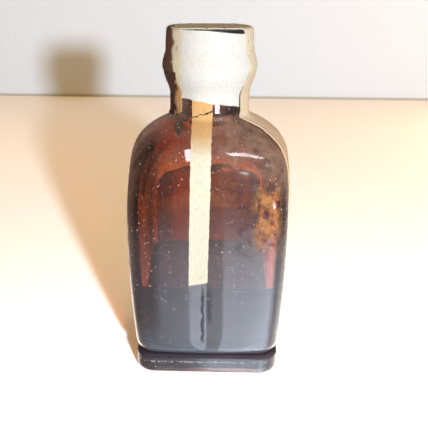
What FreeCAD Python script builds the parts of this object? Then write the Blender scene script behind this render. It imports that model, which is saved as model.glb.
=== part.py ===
import FreeCAD, Part
import math
import os

# A square reagent bottle of amber glass with a screw cap, sealed with paper.
# Millimetres. +Z is up, the front face looks along -Y, and the origin is the
# middle of the foot's underside.

# ---- glass: foot and body ----
FOOT_WIDTH = 45.0
FOOT_HEIGHT = 6.6
FOOT_CORNER = 6.0          # radius of the foot's upright corners
FOOT_SOLE_ROUND = 1.8      # rounding of the edge that the bottle stands on
FOOT_TOP_ROUND = 1.0
SOLE_RECESS = 0.8          # hollow under the foot
SOLE_RIM = 3.6             # width of the rim round that hollow
BODY_WIDTH = 50.0          # across the flats at the widest height
BODY_BASE_WIDTH = 45.8     # the same taper carried down to the foot, before the heel
BODY_WIDEST_Z = 48.6
BODY_CORNER = 5.0          # radius of the body's upright corners
FACE_BULGE = 0.8           # how far the middle of each face stands out
HEEL_DEPTH = 2.0           # how far the heel turns in, at the foot
HEEL_RISE = 4.2
SHOULDER_END_Z = 80.0      # where the shoulder meets the neck
SHOULDER_FULLNESS = 6.6    # higher keeps the body straight for longer
SHOULDER_DOME = 1.22       # higher makes the dome meet the neck more gently
SHOULDER_SQUARENESS = 2.4  # higher keeps the sections square for longer on the way up
WALL = 3.4
CAVITY_CORNER = 5.0        # smallest corner radius inside
CAVITY_DROP = 5.0          # the cavity ends this far below the foot of the neck
FLOOR_THICKNESS = 1.6      # glass above the foot's top

# ---- glass: neck and finish ----
NECK_RADIUS = 11.85
NECK_ROOT_ROUND = 1.6
NECK_ROOT_MIDDLE = (0.55, 0.45)   # middle of that round: out and down, as shares of it
BEAD_RADIUS = 13.9
BEAD_Z = 94.0
BEAD_RISE = 3.0            # from the bead's middle up to the plain finish
BEAD_FALL = 7.5            # from its middle down to the plain neck
BORE_RADIUS = 7.6
BORE_STEP = 0.8            # the bore opens by this much into the body
FINISH_RADIUS = 10.6       # the neck between the threads
LIP_Z = 103.2
LIP_ROUND = 0.5
PITCH = 2.8
THREAD_HEIGHT = 0.75
THREAD_BASE = 1.2
THREAD_CREST = 0.5
THREAD_SUNK = 0.3          # how far a ridge reaches into its wall
THREAD_TURNS = 1.5
THREAD_FROM_LIP = 1.0      # the bottle's thread ends this far below the lip

# ---- cap and liner ----
CAP_RADIUS = 12.9
CAP_WALL = 1.25
CAP_TOP = 1.4
CAP_EDGE_ROUND = 0.7
CAP_BEAD_GAP = 0.4         # cap's lower edge to the bead
CAP_THREAD_TURNS = 1.25
LINER_BACKING = 1.0
LINER_FACING = 0.4
LINER_CLEARANCE = 0.3

# ---- liquid ----
LIQUID_LEVEL_Z = 29.0
LIQUID_CLEARANCE = 0.05

# ---- papers ----
PAPER = 0.25
BAND_PAPER = 0.3
GLUE = 0.05
SLIT_GAP = 0.15            # cut between the cap's papers and the neck's
LIFT_CLEARANCE = 0.3       # cap's papers to the bead
LABEL_LEFT = 51.0          # degrees round from the front
LABEL_RIGHT = 52.0
LABEL_DROP_LEFT = 8.0      # label's lower edge below the bead
LABEL_DROP_RIGHT = 10.6
LABEL_TOP_DROP = 1.2       # how far the label's top edge runs down to its right end
BAND_WIDTH = 17.6
BAND_LEFT_DROP = 13.8      # torn end of the left leg, below the bead
BAND_RIGHT_END_Z = 44.0    # end of the right leg, on the right face
BAND_END_ROUND = 1.5
CAP_PAPER_SLACK = 0.35     # how far the papers stand off the cap's lower edge
PAPER_TURN = 1.2           # height over which they turn out to the bead
STRIP_WIDTH = 6.0
STRIP_OFFSET = -1.8        # strip's middle from the front mould seam
STRIP_END_Z = 32.2
STRIP_END_SLANT = 1.0
STRIP_TOP_DROP = 5.0       # hidden top of the torn stub below the bead's middle
TEAR_LEFT_Z = 80.4
TEAR_RIGHT_Z = 82.4
TEAR_GAP = 0.3
BACK_LABEL_WIDTH = 44.0
BACK_LABEL_BOTTOM_Z = 27.0
BACK_LABEL_TOP_Z = 66.0

# ---- how sections and threads are made ----
SECTION_POINTS = 48
LOWER_STATIONS = 7
LOWER_CROWDING = 2.2       # higher puts more of the lower stations at the heel
UPPER_STATIONS = 13

CAP_LIFT_TURNS = 10

neck_z = SHOULDER_END_Z
floor_z = FOOT_HEIGHT + FLOOR_THICKNESS
cavity_top_z = neck_z - CAVITY_DROP
cap_underside_z = LIP_Z + LINER_BACKING + LINER_FACING
cap_top_z = cap_underside_z + CAP_TOP
cap_bottom_z = BEAD_Z + BEAD_RISE + CAP_BEAD_GAP
cap_bore = CAP_RADIUS - CAP_WALL
slit_z = BEAD_Z
bottle_thread_z = LIP_Z - THREAD_FROM_LIP - THREAD_BASE / 2 - PITCH * THREAD_TURNS


def vec(x, y, z):
    return FreeCAD.Vector(x, y, z)


def square_radius(angle, half, corner):
    """Distance from the middle to a round-cornered square with slightly convex sides."""
    corner = min(corner, 0.9 * half)
    flat = half - corner
    side = (flat * flat + FACE_BULGE * FACE_BULGE) / (2 * FACE_BULGE)
    back = side - half
    corner_at = (math.sqrt(2 * (side - corner) ** 2 - back * back) - back) / 2
    turn = abs((angle + math.pi / 4) % (math.pi / 2) - math.pi / 4)
    reach = side / (side - corner)
    joint = math.atan2(corner_at * reach, (corner_at + back) * reach - back)
    if turn < joint:
        return math.sqrt(side * side - (back * math.sin(turn)) ** 2) - back * math.cos(turn)
    along = corner_at * (math.cos(turn) + math.sin(turn))
    return along + math.sqrt(along * along - 2 * corner_at ** 2 + corner * corner)


def body_section(z, inset, base_z, neck_radius, end_z):
    """One level section of the body, moved in by inset."""
    widest = BODY_WIDTH / 2 - inset
    base = BODY_BASE_WIDTH / 2 - inset
    if z <= BODY_WIDEST_Z:
        down = (BODY_WIDEST_Z - z) / (BODY_WIDEST_Z - base_z)
        half = widest - (widest - base) * down ** 2
        into_heel = max(0.0, 1 - (z - base_z) / HEEL_RISE)
        half -= HEEL_DEPTH * (1 - math.sqrt(max(0.0, 1 - into_heel ** 2)))
        roundness = 0.0
    else:
        up = min(1.0, (z - BODY_WIDEST_Z) / (end_z - BODY_WIDEST_Z))
        half = neck_radius + (widest - neck_radius) * (1 - up ** SHOULDER_FULLNESS) ** SHOULDER_DOME
        roundness = up ** SHOULDER_SQUARENESS
    points = []
    for i in range(SECTION_POINTS):
        angle = 2 * math.pi * i / SECTION_POINTS
        square = square_radius(angle, half, max(CAVITY_CORNER, BODY_CORNER - inset))
        radius = square + (half - square) * roundness
        points.append(vec(radius * math.cos(angle), radius * math.sin(angle), z))
    curve = Part.BSplineCurve()
    curve.interpolate(points, PeriodicFlag=True)
    return Part.Wire(curve.toShape())


def body_loft(inset, base_z, neck_radius, end_z):
    """The body's solid between its foot and its neck, through level sections."""
    heights = []
    for i in range(LOWER_STATIONS):
        share = i / (LOWER_STATIONS - 1)
        heights.append(base_z + (BODY_WIDEST_Z - base_z) * share ** LOWER_CROWDING)
    for i in range(1, UPPER_STATIONS + 1):
        share = math.sin(math.pi / 2 * i / UPPER_STATIONS)
        heights.append(BODY_WIDEST_Z + (end_z - BODY_WIDEST_Z) * share)
    wires = [body_section(z, inset, base_z, neck_radius, end_z) for z in heights]
    return Part.makeLoft(wires, True, False)


def outer_body(offset=0.0):
    return body_loft(-offset, FOOT_HEIGHT, NECK_RADIUS + offset, neck_z + offset)


def cavity_body(clearance=0.0):
    return body_loft(WALL + clearance, floor_z + clearance, BORE_RADIUS + BORE_STEP, cavity_top_z)


def revolve(outline):
    """Turn a list of (radius, z) corners and arc middles round the Z axis."""
    wire = Part.Wire(outline)
    return Part.Face(wire).revolve(vec(0, 0, 0), vec(0, 0, 1), 360)


def line(a, b):
    return Part.makeLine(vec(a[0], 0, a[1]), vec(b[0], 0, b[1]))


def chain(points):
    """Straight edges through the points and back to the first."""
    return [line(a, b) for a, b in zip(points, points[1:] + points[:1])]


def foot():
    half = FOOT_WIDTH / 2
    block = Part.makeBox(FOOT_WIDTH, FOOT_WIDTH, FOOT_HEIGHT, vec(-half, -half, 0))
    upright = [e for e in block.Edges if abs(e.BoundBox.ZLength - FOOT_HEIGHT) < 1e-6]
    block = block.makeFillet(FOOT_CORNER, upright)
    sole = [e for e in block.Edges if e.BoundBox.ZMax < 1e-6]
    block = block.makeFillet(FOOT_SOLE_ROUND, sole)
    top = [e for e in block.Edges if e.BoundBox.ZMin > FOOT_HEIGHT - 1e-6]
    block = block.makeFillet(FOOT_TOP_ROUND, top)
    hollow = half - SOLE_RIM
    pocket = Part.makeBox(2 * hollow, 2 * hollow, 2 * SOLE_RECESS, vec(-hollow, -hollow, -SOLE_RECESS))
    upright = [e for e in pocket.Edges if e.BoundBox.ZLength > SOLE_RECESS]
    pocket = pocket.makeFillet(FOOT_CORNER - SOLE_RIM, upright)
    return block.cut(pocket)


def neck_radius_at(z, offset=0.0):
    """Radius of the neck's outside, with the bead on it, moved out by offset."""
    if z < BEAD_Z:
        share = min(1.0, (BEAD_Z - z) / BEAD_FALL)
        return NECK_RADIUS + offset + (BEAD_RADIUS - NECK_RADIUS) * (1 - share ** 2) ** 2
    share = min(1.0, (z - BEAD_Z) / BEAD_RISE)
    return FINISH_RADIUS + offset + (BEAD_RADIUS - FINISH_RADIUS) * (1 - share ** 2)


def neck_outline(z_low, z_high, offset, steps=14):
    """Points up the outside of the neck and bead, as (radius, z)."""
    heights = [z_low + (z_high - z_low) * i / steps for i in range(steps + 1)]
    return [(neck_radius_at(z, offset), z) for z in heights]


def spline(points):
    curve = Part.BSplineCurve()
    curve.interpolate([vec(r, 0, z) for r, z in points])
    return curve.toShape()


def lower_neck(offset=0.0):
    """Solid neck from inside the shoulder up to the bead's middle, moved out by offset."""
    root_z = neck_z - 2 * NECK_ROOT_ROUND
    out, down = NECK_ROOT_MIDDLE
    root = [
        (NECK_RADIUS + 2 * NECK_ROOT_ROUND + offset, root_z),
        (NECK_RADIUS + out * NECK_ROOT_ROUND + offset, neck_z - down * NECK_ROOT_ROUND),
        (NECK_RADIUS + offset, neck_z + NECK_ROOT_ROUND),
    ]
    flank = neck_outline(BEAD_Z - BEAD_FALL, BEAD_Z, offset)
    edges = [
        line((0, root_z), root[0]),
        spline(root),
        line(root[-1], flank[0]),
        spline(flank),
        line(flank[-1], (0, BEAD_Z)),
        line((0, BEAD_Z), (0, root_z)),
    ]
    return revolve(edges)


def finish():
    """The bead's upper flank and the plain neck that carries the thread, still solid."""
    flank = neck_outline(BEAD_Z, BEAD_Z + BEAD_RISE, 0.0)
    lip = [(FINISH_RADIUS, LIP_Z - LIP_ROUND), (FINISH_RADIUS - LIP_ROUND, LIP_Z), (0, LIP_Z), (0, BEAD_Z)]
    edges = [line((0, BEAD_Z), flank[0]), spline(flank), line(flank[-1], lip[0])]
    edges += [line(a, b) for a, b in zip(lip, lip[1:])]
    return revolve(edges)


outsides = {}


def outside(offset=0.0):
    """Everything inside the bottle's outer surface below the bead's middle, moved out by offset."""
    key = round(offset, 4)
    if key not in outsides:
        outsides[key] = outer_body(offset).fuse(lower_neck(offset))
    return outsides[key]


def thread(root_radius, height, z_start, turns, outward):
    """One helical ridge of trapezoid section, sunk a little into its wall."""
    sign = 1 if outward else -1
    inner = root_radius - sign * THREAD_SUNK
    crest = root_radius + sign * height
    helix = Part.makeHelix(PITCH, PITCH * turns, root_radius)
    helix.translate(vec(0, 0, z_start))
    profile = [
        vec(inner, 0, z_start - THREAD_BASE / 2),
        vec(crest, 0, z_start - THREAD_CREST / 2),
        vec(crest, 0, z_start + THREAD_CREST / 2),
        vec(inner, 0, z_start + THREAD_BASE / 2),
    ]
    section = Part.makePolygon(profile + profile[:1])
    return Part.Wire(helix.Edges).makePipeShell([section], True, True)


def glass_bottle():
    solid = outside().fuse(foot()).fuse(finish())
    solid = solid.fuse(thread(FINISH_RADIUS, THREAD_HEIGHT, bottle_thread_z, THREAD_TURNS, True))
    bore = Part.makeCylinder(BORE_RADIUS, LIP_Z - cavity_top_z + 2 * WALL, vec(0, 0, cavity_top_z - WALL))
    return solid.cut(cavity_body()).cut(bore)


def liquid():
    level = Part.makeBox(BODY_WIDTH, BODY_WIDTH, LIQUID_LEVEL_Z, vec(-BODY_WIDTH / 2, -BODY_WIDTH / 2, 0))
    return cavity_body(LIQUID_CLEARANCE).common(level)


def screw_cap():
    shell = Part.makeCylinder(CAP_RADIUS, cap_top_z - cap_bottom_z, vec(0, 0, cap_bottom_z))
    rim = [e for e in shell.Edges if e.BoundBox.ZMin > cap_top_z - 1e-6]
    shell = shell.makeFillet(CAP_EDGE_ROUND, rim)
    shell = shell.cut(Part.makeCylinder(cap_bore, cap_underside_z - cap_bottom_z, vec(0, 0, cap_bottom_z)))
    start = bottle_thread_z + PITCH / 2
    while start - PITCH > cap_bottom_z + THREAD_BASE / 2:
        start -= PITCH
    ridge = thread(cap_bore, THREAD_HEIGHT, start, CAP_THREAD_TURNS, False)
    return shell.fuse(ridge)


def liner(z, thickness):
    return Part.makeCylinder(cap_bore - LINER_CLEARANCE, thickness, vec(0, 0, z))


def wedge(low_deg, high_deg, z_low, z_high):
    """A slice of space round the Z axis, in degrees from +X."""
    reach = 2 * BODY_WIDTH
    piece = Part.makeCylinder(reach, z_high - z_low, vec(0, 0, z_low), vec(0, 0, 1), high_deg - low_deg)
    piece.rotate(vec(0, 0, 0), vec(0, 0, 1), low_deg)
    return piece


def slanted_below(left_z, right_z, span):
    """All space under a plane that runs from left_z at x=-span/2 to right_z at x=span/2."""
    depth = 3 * BODY_WIDTH
    corners = [vec(-span, -depth, -depth), vec(span, -depth, -depth)]
    corners += [vec(span, -depth, right_z + (right_z - left_z) / 2)]
    corners += [vec(-span, -depth, left_z - (right_z - left_z) / 2)]
    return Part.Face(Part.makePolygon(corners + corners[:1])).extrude(vec(0, 2 * depth, 0))


def cap_paper(thickness, top_flap):
    """Paper wrapped round the cap from its top edge down to the slit at the bead."""
    cap_inside = CAP_RADIUS + GLUE
    slit_inside = BEAD_RADIUS + LIFT_CLEARANCE
    low = slit_z + SLIT_GAP
    inside = [(slit_inside, low), (slit_inside, BEAD_Z + BEAD_RISE / 2)]
    inside += [(cap_inside + CAP_PAPER_SLACK, cap_bottom_z + PAPER_TURN), (cap_inside, cap_top_z + GLUE)]
    outside = [(r + thickness, z) for r, z in inside[:-1]]
    if top_flap:
        outside += [(cap_inside + thickness, cap_top_z + GLUE + thickness), (0.0, cap_top_z + GLUE + thickness)]
        inside += [(0.0, cap_top_z + GLUE)]
    else:
        outside += [(cap_inside + thickness, cap_top_z)]
        inside[-1] = (cap_inside, cap_top_z)
    return revolve(chain(inside + outside[::-1]))


def slab(x_low, x_high, y_low, y_high, z_low, z_high):
    return Part.makeBox(x_high - x_low, y_high - y_low, z_high - z_low, vec(x_low, y_low, z_low))


def band_slab(x_low, x_high, z_low, z_high, margin=0.0):
    """The space that the crossing band takes, widened by margin."""
    half = BAND_WIDTH / 2 + margin
    return slab(x_low, x_high, -half, half, z_low, z_high)


def label_region(low_z):
    """The slice in front that the label takes, up to the edges of the crossing band."""
    high_z = 2 * cap_top_z
    front = wedge(270 - LABEL_LEFT, 270 + LABEL_RIGHT, low_z, high_z)
    return front.cut(band_slab(-BODY_WIDTH, BODY_WIDTH, low_z, high_z, GLUE))


def cap_label():
    keep = slanted_below(cap_top_z, cap_top_z - LABEL_TOP_DROP, 2 * CAP_RADIUS)
    return cap_paper(PAPER, False).common(label_region(slit_z)).common(keep)


def cap_band():
    return cap_paper(BAND_PAPER, True).common(band_slab(-BODY_WIDTH, BODY_WIDTH, slit_z, 2 * cap_top_z))


def on_glass(thickness, region, under=0.0):
    """Paper that follows the bottle's outside where region is, over what lies under it."""
    inside = GLUE + under
    return outside(inside + thickness).common(region).cut(outside(inside))


def neck_label():
    gone = slanted_below(BEAD_Z - LABEL_DROP_LEFT, BEAD_Z - LABEL_DROP_RIGHT, 2 * NECK_RADIUS)
    region = label_region(BEAD_Z - max(LABEL_DROP_LEFT, LABEL_DROP_RIGHT)).cut(gone)
    return on_glass(PAPER, region, GLUE + PAPER)


def neck_band_left():
    """Left leg of the band; its lower end is torn round."""
    end_z = BEAD_Z - BAND_LEFT_DROP
    region = band_slab(-BODY_WIDTH, 0, end_z, BEAD_Z)
    low = [e for e in region.Edges if e.BoundBox.ZMax < end_z + 1e-6 and e.BoundBox.YLength < 1e-6]
    return on_glass(BAND_PAPER, region.makeFillet(BAND_END_ROUND, low))


def seal_band_right():
    """Right leg of the band, from the bead over the shoulder and down the right face."""
    return on_glass(BAND_PAPER, band_slab(0, BODY_WIDTH, BAND_RIGHT_END_Z, BEAD_Z))


def strip_slab(z_low, z_high):
    half = STRIP_WIDTH / 2
    return slab(STRIP_OFFSET - half, STRIP_OFFSET + half, -BODY_WIDTH, 0, z_low, z_high)


def below_tear(shift):
    """Space under the tear across the front strip, moved up by shift."""
    rise = (TEAR_RIGHT_Z - TEAR_LEFT_Z) / STRIP_WIDTH
    left = TEAR_LEFT_Z - rise * (STRIP_OFFSET - STRIP_WIDTH / 2) + shift
    return slanted_below(left - rise * STRIP_WIDTH / 2, left + rise * STRIP_WIDTH / 2, STRIP_WIDTH)


def neck_strip():
    """Torn stub of the front strip; its top is under the label."""
    top = BEAD_Z - STRIP_TOP_DROP
    return on_glass(PAPER, strip_slab(TEAR_LEFT_Z, top).cut(below_tear(TEAR_GAP)))


def front_strip():
    low = STRIP_END_Z - STRIP_END_SLANT
    gone = slanted_below(low, STRIP_END_Z + STRIP_END_SLANT, 2 * STRIP_WIDTH)
    region = strip_slab(low, TEAR_RIGHT_Z).common(below_tear(0.0)).cut(gone)
    return on_glass(PAPER, region)


def back_label():
    half = BACK_LABEL_WIDTH / 2
    return on_glass(PAPER, slab(-half, half, 0, BODY_WIDTH, BACK_LABEL_BOTTOM_Z, BACK_LABEL_TOP_Z))


NODES = {
    "glass_bottle": glass_bottle,
    "liquid": liquid,
    "screw_cap": screw_cap,
    "liner_backing": lambda: liner(LIP_Z + LINER_FACING, LINER_BACKING),
    "liner_facing": lambda: liner(LIP_Z, LINER_FACING),
    "cap_label": cap_label,
    "cap_band": cap_band,
    "neck_label": neck_label,
    "neck_band_left": neck_band_left,
    "seal_band_right": seal_band_right,
    "neck_strip": neck_strip,
    "front_strip": front_strip,
    "back_label": back_label,
}

os.makedirs("parts", exist_ok=True)
for name, make in NODES.items():
    shape = make()
    shape.exportStep("parts/" + name + ".step")
    box = shape.BoundBox
    print(name, "solids", len(shape.Solids), "valid", shape.isValid(), "volume", round(shape.Volume, 2),
          "z", round(box.ZMin, 2), round(box.ZMax, 2))
print("cap travel", round(PITCH * CAP_LIFT_TURNS, 3), "mm")
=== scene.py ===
# %% [markdown]
# # A square bottle of amber glass, sealed with paper
# The real thing is a small reagent bottle: blown amber glass on a square foot,
# a black screw cap, a dark liquid in the bottom third, and strips of paper
# pasted over the cap and down the glass. The bottle is a set of separate
# pieces here too, and each one says which moving body it rides on.
# All the sizes below are in millimetres, and one helper turns them to metres.

import math

import bmesh
import bpy
import numpy as np
from mathutils import Matrix, Vector, noise


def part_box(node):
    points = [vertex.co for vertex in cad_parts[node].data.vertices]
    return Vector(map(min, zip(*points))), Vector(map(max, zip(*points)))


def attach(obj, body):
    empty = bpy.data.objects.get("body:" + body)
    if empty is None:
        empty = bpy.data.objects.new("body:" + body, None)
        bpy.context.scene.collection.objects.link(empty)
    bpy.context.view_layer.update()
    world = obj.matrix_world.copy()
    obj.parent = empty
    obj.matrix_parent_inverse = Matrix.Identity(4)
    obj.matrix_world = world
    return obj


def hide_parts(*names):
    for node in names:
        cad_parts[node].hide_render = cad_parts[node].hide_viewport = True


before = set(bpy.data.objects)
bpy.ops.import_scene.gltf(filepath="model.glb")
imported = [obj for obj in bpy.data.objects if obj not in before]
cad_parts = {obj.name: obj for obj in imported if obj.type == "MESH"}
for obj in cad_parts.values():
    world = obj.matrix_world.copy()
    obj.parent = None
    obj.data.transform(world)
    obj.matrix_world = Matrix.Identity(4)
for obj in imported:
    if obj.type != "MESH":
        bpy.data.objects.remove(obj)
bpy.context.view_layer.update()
MM = 0.001
TAU = 2 * math.pi


def millimetres(node):
    """Lowest and highest corner of a solid, in millimetres."""
    low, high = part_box(node)
    return low / MM, high / MM


print("solids:", sorted(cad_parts))

# %% [markdown]
# ## Camera
# The picture is taken from a little above the cap, looking down by about 19
# degrees. It could be aimed by a Track To constraint, but a plain matrix says
# exactly how the camera is turned about each axis, so that is used.

# %% Camera
CAMERA_PLACE = (7.13, -229.9, 124.77)
CAMERA_AZIMUTH = 0.0241
CAMERA_DOWN = 0.3288
CAMERA_ROLL = 0.0073
CAMERA_LENS = 62.33

camera_data = bpy.data.cameras.new("camera")
camera_data.lens = CAMERA_LENS
camera_data.sensor_width = 36.0
camera_data.clip_start = 0.01
camera = bpy.data.objects.new("camera", camera_data)
bpy.context.scene.collection.objects.link(camera)
camera.matrix_world = (
    Matrix.Translation(Vector(CAMERA_PLACE) * MM)
    @ Matrix.Rotation(CAMERA_AZIMUTH, 4, "Z")
    @ Matrix.Rotation(math.pi / 2 - CAMERA_DOWN, 4, "X")
    @ Matrix.Rotation(CAMERA_ROLL, 4, "Z")
)
bpy.context.scene.camera = camera
bpy.context.scene.view_settings.view_transform = "Standard"
print("camera looks down by", round(math.degrees(CAMERA_DOWN), 1), "degrees")

# %% [markdown]
# ## Helpers for materials
# Colours are written as sRGB hex values, the way a paint chip is named, and
# one function turns them to the linear values that a shader works in. One
# more function adds a node, sets its properties and links its inputs. The
# small functions after it are the few groups of nodes that every material
# here is put together from.

# %% Colour and node helpers
def linear(code):
    """An sRGB hex value as linear RGBA."""
    parts = [int(code[i : i + 2], 16) / 255 for i in (1, 3, 5)]
    return tuple(
        p / 12.92 if p <= 0.04045 else ((p + 0.055) / 1.055) ** 2.4 for p in parts
    ) + (1.0,)


def add(tree, kind, inputs=None, **settings):
    """Add a node. Inputs maps a socket's name or number to a value or to an output."""
    node = tree.nodes.new(kind)
    for key, value in settings.items():
        setattr(node, key, value)
    for key, value in (inputs or {}).items():
        if isinstance(value, bpy.types.NodeSocket):
            tree.links.new(value, node.inputs[key])
        else:
            node.inputs[key].default_value = value
    return node


def new_material(name):
    """An empty material, its node tree and the object's own coordinates."""
    material = bpy.data.materials.new(name)
    material.use_nodes = True
    tree = material.node_tree
    tree.nodes.clear()
    return material, tree, add(tree, "ShaderNodeTexCoord").outputs["Object"]


def axes(tree, where):
    """The X, Y and Z of a vector."""
    return add(tree, "ShaderNodeSeparateXYZ", {"Vector": where}).outputs


def ramp(tree, factor, stops):
    """A Color Ramp with its stops as (position, colour)."""
    node = add(tree, "ShaderNodeValToRGB", {"Fac": factor})
    elements = node.color_ramp.elements
    while len(elements) < len(stops):
        elements.new(0.5)
    for element, (position, colour) in zip(elements, stops):
        element.position = position
        element.color = colour if len(colour) == 4 else (*colour, 1.0)
    return node.outputs["Color"]


def span(tree, value, low, high, to_low=0.0, to_high=1.0, kind="SMOOTHSTEP"):
    """Map a range of values to another and stop at its ends."""
    return add(
        tree,
        "ShaderNodeMapRange",
        {"Value": value, "From Min": low, "From Max": high, "To Min": to_low, "To Max": to_high},
        interpolation_type=kind,
    ).outputs["Result"]


def calc(tree, operation, a, b=0.0, c=0.0):
    """One step of arithmetic."""
    return add(tree, "ShaderNodeMath", {0: a, 1: b, 2: c}, operation=operation).outputs[0]


def times(tree, *factors):
    """The product of several outputs and numbers."""
    product = factors[0]
    for factor in factors[1:]:
        product = calc(tree, "MULTIPLY", product, factor)
    return product


def vectors(tree, operation, inputs):
    """The node for one step of arithmetic with vectors."""
    return add(tree, "ShaderNodeVectorMath", inputs, operation=operation)


def lumps(tree, where, size, detail=2.0):
    """Noise with lumps of a size in millimetres."""
    inputs = {"Vector": where, "Scale": 1 / (size * MM), "Detail": detail}
    return add(tree, "ShaderNodeTexNoise", inputs).outputs["Fac"]


def noise_mask(tree, where, size, low, high, detail=2.0):
    """A mask from noise, between two thresholds."""
    return span(tree, lumps(tree, where, size, detail), low, high, kind="LINEAR")


def blend(tree, factor, first, second):
    """One colour going over to another, each an output or a hex value."""
    first, second = (linear(c) if isinstance(c, str) else c for c in (first, second))
    inputs = {"Factor": factor, "A": first, "B": second}
    return add(tree, "ShaderNodeMix", inputs, data_type="RGBA").outputs["Result"]


def bumped(tree, height, strength, distance):
    """The normal of a bump whose distance is in millimetres."""
    inputs = {"Height": height, "Strength": strength, "Distance": distance * MM}
    return add(tree, "ShaderNodeBump", inputs).outputs["Normal"]


def matt(tree, colour, share=1.0):
    """A matt shader with a share of a colour."""
    tone = tuple(c * share for c in linear(colour)[:3]) + (1.0,)
    return add(tree, "ShaderNodeBsdfDiffuse", {"Color": tone}).outputs[0]


def mixed(tree, factor, below, above):
    """One shader over another."""
    return add(tree, "ShaderNodeMixShader", {0: factor, 1: below, 2: above}).outputs[0]


def opaque(tree, inputs):
    """End a material in one Principled shader."""
    skin = add(tree, "ShaderNodeBsdfPrincipled", inputs)
    add(tree, "ShaderNodeOutputMaterial", {"Surface": skin.outputs[0]})


# %% [markdown]
# ## Helpers for meshes
# A blown bottle, its liquid and its cap are each a stack of rings, so one
# function joins rings of points to a closed skin. A paper is a grid of points
# given a thickness, so a second function does that. Both put the place in the
# mesh, and leave the object at the origin.

# %% Mesh helpers
def link(name, vertices, faces, material, smooth_below=40):
    """A mesh object from points in millimetres, with edges sharper than an angle kept."""
    mesh = bpy.data.meshes.new(name)
    mesh.from_pydata((np.asarray(vertices, float) * MM).tolist(), [], faces)
    mesh.materials.append(material)
    obj = bpy.data.objects.new(name, mesh)
    bpy.context.scene.collection.objects.link(obj)
    tidy_mesh(mesh, smooth_below)
    return obj


def tidy_mesh(mesh, sharp_above, weld=0.0):
    """Close points joined, faces pointing out, and smooth but for edges above an angle."""
    work = bmesh.new()
    work.from_mesh(mesh)
    if weld:
        bmesh.ops.remove_doubles(work, verts=work.verts, dist=weld * MM)
    bmesh.ops.recalc_face_normals(work, faces=work.faces)
    work.to_mesh(mesh)
    work.free()
    for polygon in mesh.polygons:
        polygon.use_smooth = True
    mesh.set_sharp_from_angle(angle=math.radians(sharp_above))


def ring_skin(name, rings, material, smooth_below=40):
    """Join rings of (x, y, z) points, each as long as the next, and close both ends."""
    count = len(rings[0])
    vertices = np.concatenate([*rings, rings[0].mean(0)[None], rings[-1].mean(0)[None]])
    faces = []
    for r in range(len(rings) - 1):
        low, high = r * count, (r + 1) * count
        for i in range(count):
            j = (i + 1) % count
            faces.append((low + i, low + j, high + j, high + i))
    first, last = len(vertices) - 2, len(vertices) - 1
    top = (len(rings) - 1) * count
    for i in range(count):
        j = (i + 1) % count
        faces.append((first, j, i))
        faces.append((last, top + i, top + j))
    return link(name, vertices, faces, material, smooth_below)


def grid_normals(points):
    """Unit normals of a grid of points, rows by columns."""
    across = np.gradient(points, axis=1)
    along = np.gradient(points, axis=0)
    normals = np.cross(across, along)
    return normals / np.linalg.norm(normals, axis=2, keepdims=True)


def sheet_skin(name, under, thickness, material):
    """A paper with its underside on a grid of points and its thickness added outwards."""
    rows, columns, _ = under.shape
    normals = grid_normals(under)
    away = under * (1.0, 1.0, 0.0) + (0.0, 0.0, 10.0)
    over = under + normals * thickness * np.sign((normals * away).sum())
    vertices = np.concatenate([under.reshape(-1, 3), over.reshape(-1, 3)])
    half = rows * columns
    faces = []
    for r in range(rows - 1):
        for c in range(columns - 1):
            a = r * columns + c
            quad = (a, a + 1, a + columns + 1, a + columns)
            faces.append(quad)
            faces.append(tuple(half + v for v in quad[::-1]))
    rim = list(range(columns))
    rim += [r * columns + columns - 1 for r in range(1, rows)]
    rim += [(rows - 1) * columns + c for c in range(columns - 2, -1, -1)]
    rim += [r * columns for r in range(rows - 2, 0, -1)]
    for a, b in zip(rim, rim[1:] + rim[:1]):
        faces.append((a, b, half + b, half + a))
    return link(name, vertices, faces, material, 60)


def waves(points, size, seed):
    """Smooth noise between about -1 and 1 at each point, with bumps of a size in millimetres."""
    flat = points.reshape(-1, 3) / size + seed * 7.31
    values = [noise.noise(Vector(p)) for p in flat]
    return np.array(values).reshape(points.shape[:-1]) * 1.6


# %% [markdown]
# ## The bottle's shape
# The bottle was blown in a two-part mould, so its body is a square with round
# corners that turns round towards the neck. Each level section is worked out
# by one formula, and the same formula, moved in by the wall, gives the inside.
# Each half of the front bellies out on its own, and the two halves meet in a
# shallow valley along the mould seam, where old glass always shows it.

# %% Sizes of the bottle
glass_low, glass_high = millimetres("glass_bottle")
BODY_HALF = round((glass_high.x - glass_low.x) / 2, 1)
LIP_Z = round(glass_high.z, 1)
FOOT_HALF = 22.5
FOOT_Z = 6.6
FOOT_CORNER = 6.0
SOLE_ROUND = 1.8
FOOT_TOP_ROUND = 1.0
SOLE_RECESS = 0.8
SOLE_RIM = 3.6
BASE_HALF = 22.9
WIDEST_Z = 48.6
CORNER = 5.0
BULGE = 0.8
HEEL_DEPTH = 2.0
HEEL_RISE = 4.2
NECK_Z = 80.0
FULLNESS = 6.6
DOME = 1.22
SQUARENESS = 2.4
WALL = 3.4
FLOOR_Z = 8.2
CAVITY_CORNER = 5.0
CAVITY_TOP_Z = 75.0
CAVITY_TOP_RADIUS = 8.4
BORE_RADIUS = 7.6
NECK_RADIUS = 11.85
ROOT_ROUND = 1.6
ROOT_BLEND = 0.4
BEAD_RADIUS = 13.9
BEAD_Z = 94.0
BEAD_FALL = 7.5
BEAD_RISE = 3.0
FINISH_RADIUS = 10.6
LIP_ROUND = 0.5
VALLEY_DEPTH = 0.36
VALLEY_HALF = 11.0
print("bottle", 2 * BODY_HALF, "wide and", LIP_Z, "high")


# %% Level sections
def octant(angle):
    """The angle from the nearest face's middle."""
    return np.abs((angle + math.pi / 4) % (math.pi / 2) - math.pi / 4)


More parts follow.
